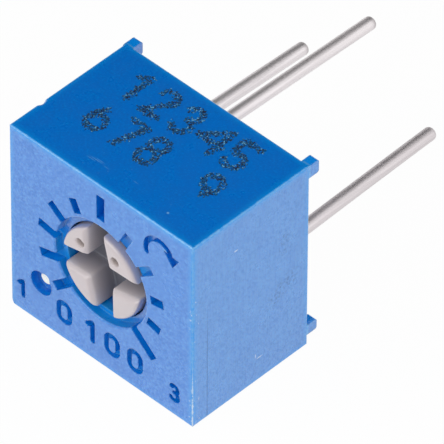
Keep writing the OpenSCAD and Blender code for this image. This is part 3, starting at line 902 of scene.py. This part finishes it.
def wire_faces(rows, columns):
    """Faces of a tube of rows by columns points, whose ends are closed by fans about one
    last point each."""
    index = np.arange(rows * columns).reshape(rows, columns)
    faces = grid_faces(np.concatenate([index, index[:, :1]], axis=1)).tolist()
    first, last = index[0], index[-1]
    for one, other, pole in ((np.roll(first, -1), first, 0), (last, np.roll(last, -1), 1)):
        faces += np.stack([one, other, np.full(columns, rows * columns + pole)], axis=-1).tolist()
    return faces


# %% [markdown]
# A bend has two parts. The lean grows evenly from the root to the tip. The kink is a
# hump of the centre line that rises close behind the potting and dies away towards the
# tip.

# %% Pins
BENDS = {
    "pin_1": {"lean": (0.10, -0.11), "kink": (0.0, 0.0), "shorter": 0.0},
    "pin_2": {"lean": (0.10, -0.03), "kink": (0.0, 0.0), "shorter": 0.0},
    "pin_3": {"lean": (0.0, 0.0), "kink": (0.0, -0.19), "shorter": 0.11},
}


def pin_piece(name, lean, kink, shorter):
    """A round wire along Y in place of a pin; lean and kink are shifts in X and Z."""
    low, high = box_mm(name)
    centre = (low + high) / 2
    along, radius = wire_rows(low[1], high[1] - shorter)
    share = np.clip((along - ROOT_END) / (high[1] - ROOT_END), 0, 1)
    rise = np.clip(share / KINK_RISE, 0, 1)
    hump = rise * rise * (3 - 2 * rise) * (1 - share) ** KINK_FALL
    angle = np.linspace(0, 2 * math.pi, 40, endpoint=False)
    shape = np.empty((len(along), len(angle), 3))
    shape[..., 1] = along[:, None]
    for axis, circle, lean_by, kink_by in zip((0, 2), (np.cos(angle), np.sin(angle)), lean, kink):
        shift = (lean_by * share + kink_by * hump)[:, None]
        shape[..., axis] = centre[axis] + radius[:, None] * circle + shift
    ends = [shape[:1].mean(axis=1), shape[-1:].mean(axis=1)]
    points = np.concatenate([shape.reshape(-1, 3), *ends])
    piece = make_piece(name + "_wire", points, wire_faces(*shape.shape[:2]), pin_finish)
    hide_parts(name)
    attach(piece, "case")
    return piece


for name, bend in BENDS.items():
    pin_piece(name, **bend)

# %% [markdown]
# The ink. It is a dark blue that looks black where it is thick. A few blots are painted
# a pale blue, a painted glint of light off their domes. A cell pattern about as fine as
# the blots gives each place its own tone and roughness.

# %% Ink finish
DARK_INK, BLACK_INK = rgb(0.002, 0.085, 0.220), rgb(0.010, 0.020, 0.060)
INK_GLINT_BLUE = rgb(0.13, 0.42, 0.70)
ink_finish, tree, place = start_finish("ink")
cells = put(tree, "ShaderNodeTexVoronoi", {"Vector": place, "Scale": 24.0})
number = put(tree, "ShaderNodeSeparateColor", {0: cells.outputs["Color"]}).outputs
colour = blend_colour(tree, ramp(tree, number[0], 0.35, 0.80), DARK_INK, BLACK_INK)
# Painted glint: a share of the cells is painted a pale blue.
colour = blend_colour(tree, ramp(tree, number[1], 0.76, 0.98), colour, INK_GLINT_BLUE)
skin = use(tree, grain, Place=place, Size=0.03)
end_finish(tree, {
    "Base Color": colour, "IOR": 1.3, "Roughness": ramp(tree, number[2], 0.0, 1.0, 0.35, 0.6),
    "Normal": bumped(tree, skin["Height"], 1.0)})
print("ink finish nodes:", len(tree.nodes))

# %% [markdown]
# The figures are printed by a coarse stamp, so that each stroke is a crowd of small
# blots with the blue showing between them. The strokes' outlines are the model's own: a
# jittered grid of points is kept where it falls inside them. Some points are left out,
# as the stamp missed there, and the others are scattered a little, past the outlines.
# Holes in flat strokes would be simpler, but real blots have height and round edges.

# %% Where the blots are
PITCH, KEPT = 0.038, 0.85
JITTER, SCATTER = 0.42, 0.65


def inside_mesh(mesh, points):
    """Which of points[n, 2] lie under an upward face of the mesh, seen from above: a
    point is in a triangle if it is on the same side of its three edges."""
    mesh.calc_loop_triangles()
    corners = np.empty(len(mesh.vertices) * 3)
    mesh.vertices.foreach_get("co", corners)
    index = np.empty(len(mesh.loop_triangles) * 3, dtype=np.int32)
    mesh.loop_triangles.foreach_get("vertices", index)
    triangles = corners.reshape(-1, 3)[index.reshape(-1, 3)] / MM
    a, b, c = (triangles[:, i, :2] for i in range(3))
    x, y = points[:, None, 0], points[:, None, 1]

    def side(p, q):
        return (q[:, 0] - p[:, 0]) * (y - p[:, 1]) - (q[:, 1] - p[:, 1]) * (x - p[:, 0])

    sides = np.stack([side(a, b), side(b, c), side(c, a)])
    return ((sides > 0).all(axis=0)).any(axis=1)


def blot_middles(node_name, rng):
    """Middles of the blots of a printed node, as points[n, 2]."""
    low, high = box_mm(node_name)
    across = np.arange(low[0] - PITCH, high[0] + PITCH, PITCH)
    along = np.arange(low[1] - PITCH, high[1] + PITCH, PITCH)
    points = np.stack(np.meshgrid(across, along), axis=-1).reshape(-1, 2)
    points = points + rng.uniform(-JITTER, JITTER, points.shape) * PITCH
    points = points[inside_mesh(nodes[node_name].data, points)]
    points = points[rng.random(len(points)) < KEPT]
    return points + rng.normal(0, SCATTER, points.shape) * PITCH


# %% [markdown]
# A blot is a low dome: an uneven ring of corners on the case, a smaller ring near its
# full height and a middle on top, closed below. There are thousands, so each has few
# faces. Radii are shares of the pitch.

# %% Ink blots
CORNERS = 7
RADIUS, UNEVEN = (0.45, 1.0), (0.75, 1.25)
LOWEST, CLEAR = 0.006, 0.001
SHOULDER_IN, SHOULDER_UP = 0.72, 0.8


def dome_faces(count):
    """Faces of so many domes; each has two rings of points, its top and its base."""
    i = np.arange(CORNERS)
    j = (i + 1) % CORNERS
    walls = np.stack([i, j, j + CORNERS, i + CORNERS], axis=-1)
    lids = np.stack([i + CORNERS, j + CORNERS, np.full(CORNERS, 2 * CORNERS)], axis=-1)
    floors = np.stack([j, i, np.full(CORNERS, 2 * CORNERS + 1)], axis=-1)
    shift = (np.arange(count) * (2 * CORNERS + 2))[:, None, None]
    faces = []
    for part in (walls, lids, floors):
        faces += (part + shift).reshape(-1, part.shape[1]).tolist()
    return faces


def blots(node_name, rng):
    """Domes of ink in place of a printed node."""
    low, high = box_mm(node_name)
    middles = blot_middles(node_name, rng)
    count = len(middles)
    size = PITCH * rng.uniform(*RADIUS, (count, 1)) * rng.uniform(*UNEVEN, (count, CORNERS))
    angle = np.linspace(0, 2 * math.pi, CORNERS, endpoint=False) + rng.uniform(0, 1, (count, 1))
    height = rng.uniform(LOWEST, high[2] - low[2] - CLEAR, count)
    ring = np.zeros((count, CORNERS, 3))
    ring[..., 0] = middles[:, :1] + size * np.cos(angle)
    ring[..., 1] = middles[:, 1:] + size * np.sin(angle)
    ring[..., 2] = low[2] + CLEAR
    shoulder = ring.copy()
    shoulder[..., :2] = middles[:, None] + (ring[..., :2] - middles[:, None]) * SHOULDER_IN
    shoulder[..., 2] = low[2] + SHOULDER_UP * height[:, None]
    top = np.column_stack([middles, low[2] + height])[:, None]
    base = np.column_stack([middles, np.full(count, low[2] + CLEAR)])[:, None]
    points = np.concatenate([ring, shoulder, top, base], axis=1).reshape(-1, 3)
    piece = make_piece(node_name + "_blots", points, dome_faces(count), ink_finish)
    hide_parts(node_name)
    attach(piece, "case")
    print(node_name, "has", count, "blots")
    return piece


rng = np.random.default_rng(7)
for name in ("ink_back_row", "ink_front_row", "ink_single"):
    blots(name, rng)

# %% [markdown]
# The potting is epoxy, tinted dark blue and glossy, because it sets against the air. Its
# colour drifts a little, and a few small bubbles have stopped just under the skin.

# %% Potting finish
EPOXY, DEEP_EPOXY = rgb(0.045, 0.16, 0.42), rgb(0.030, 0.12, 0.36)
BUBBLE_BLUE = rgb(0.25, 0.42, 0.70)
potting_finish, tree, place = start_finish("potting")
skin = use(tree, grain, Place=place, Size=0.5)
colour = blend_colour(tree, skin["Mottle"], DEEP_EPOXY, EPOXY)
bubbles = fleck_mask(tree, place, 1.6, 0.16, 0.10)
colour = blend_colour(tree, times(tree, bubbles, 0.35), colour, BUBBLE_BLUE)
height = maths(tree, "ADD", skin["Height"], times(tree, bubbles, 1.5))
end_finish(tree, {
    "Base Color": colour, "IOR": 1.55, "Roughness": ramp(tree, skin["Mottle"], 0.0, 1.0, 0.10, 0.22),
    "Coat Weight": 0.5, "Normal": bumped(tree, height, 6.0)})
print("potting finish nodes:", len(tree.nodes))

# %% [markdown]
# The potting is poured in from behind. It sets level, but before it sets it wets the
# walls and the pins and climbs them a little. Its back is the level plus one falling
# exponential from the walls and one from each pin, on a grid of 120 by 120 cells. That
# is close to how a liquid stands at a wall, and needs no simulation. The grid fills the
# opening: across, it shrinks along the round corners.

# %% Potting back
STEPS = 120
OPENING_ROUND = 0.30
WALL_CLIMB, WALL_REACH = 0.05, 0.12
PIN_CLIMB, PIN_REACH = 0.12, 0.09
ABOVE_PINS = 0.01


def potting_back(low, high):
    """Points of the back, as points[row, column, xyz] in mm; none lies past high."""
    middle, half = (low + high) / 2, (high - low) / 2
    u, v = np.meshgrid(np.linspace(-1, 1, STEPS + 1), np.linspace(-1, 1, STEPS + 1))
    z = v * half[2]
    over = np.clip(np.abs(z) - (half[2] - OPENING_ROUND), 0, OPENING_ROUND)
    reach = half[0] - OPENING_ROUND + np.sqrt(OPENING_ROUND ** 2 - over ** 2)
    x = u * reach
    to_wall = np.minimum(reach - np.abs(x), half[2] - np.abs(z))
    y = high[1] - PIN_CLIMB + WALL_CLIMB * np.exp(-to_wall / WALL_REACH)
    for name in BENDS:
        centre = sum(box_mm(name)) / 2 - middle
        to_pin = np.clip(np.hypot(x - centre[0], z - centre[2]) - PIN_R, 0, None)
        y = y + (PIN_CLIMB - ABOVE_PINS) * np.exp(-to_pin / PIN_REACH)
    return np.stack([x + middle[0], np.minimum(y, high[1]), z + middle[2]], axis=-1)


# %% [markdown]
# The block of potting is closed: a flat front against the element is a copy of the back
# at one depth, and a band of faces round the border joins the two.

# %% Potting block
def potting_piece():
    """A closed block of potting in place of the model's plain one."""
    low, high = box_mm("epoxy_seal")
    back = potting_back(low, high)
    front = back.copy()
    front[..., 1] = low[1]
    count = (STEPS + 1) ** 2
    index = np.arange(count).reshape(STEPS + 1, STEPS + 1)
    border = np.concatenate([index[0, :-1], index[:-1, -1], index[-1, :0:-1], index[:0:-1, 0]])
    after = np.roll(border, -1)
    band = np.stack([border, after, after + count, border + count], axis=-1)
    faces = np.concatenate([grid_faces(index, flip=True), grid_faces(index + count), band])
    points = np.concatenate([back.reshape(-1, 3), front.reshape(-1, 3)])
    piece = make_piece("potting_back", points, faces.tolist(), potting_finish)
    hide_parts("epoxy_seal")
    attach(piece, "case")
    return piece


potting_piece()

# %% Sizes and finish
low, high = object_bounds()
growth = (*(np.array(cad_low) - low), *(np.array(high) - cad_high))
print("grown by, in mm:", [round(float(v) / MM, 3) for v in growth])
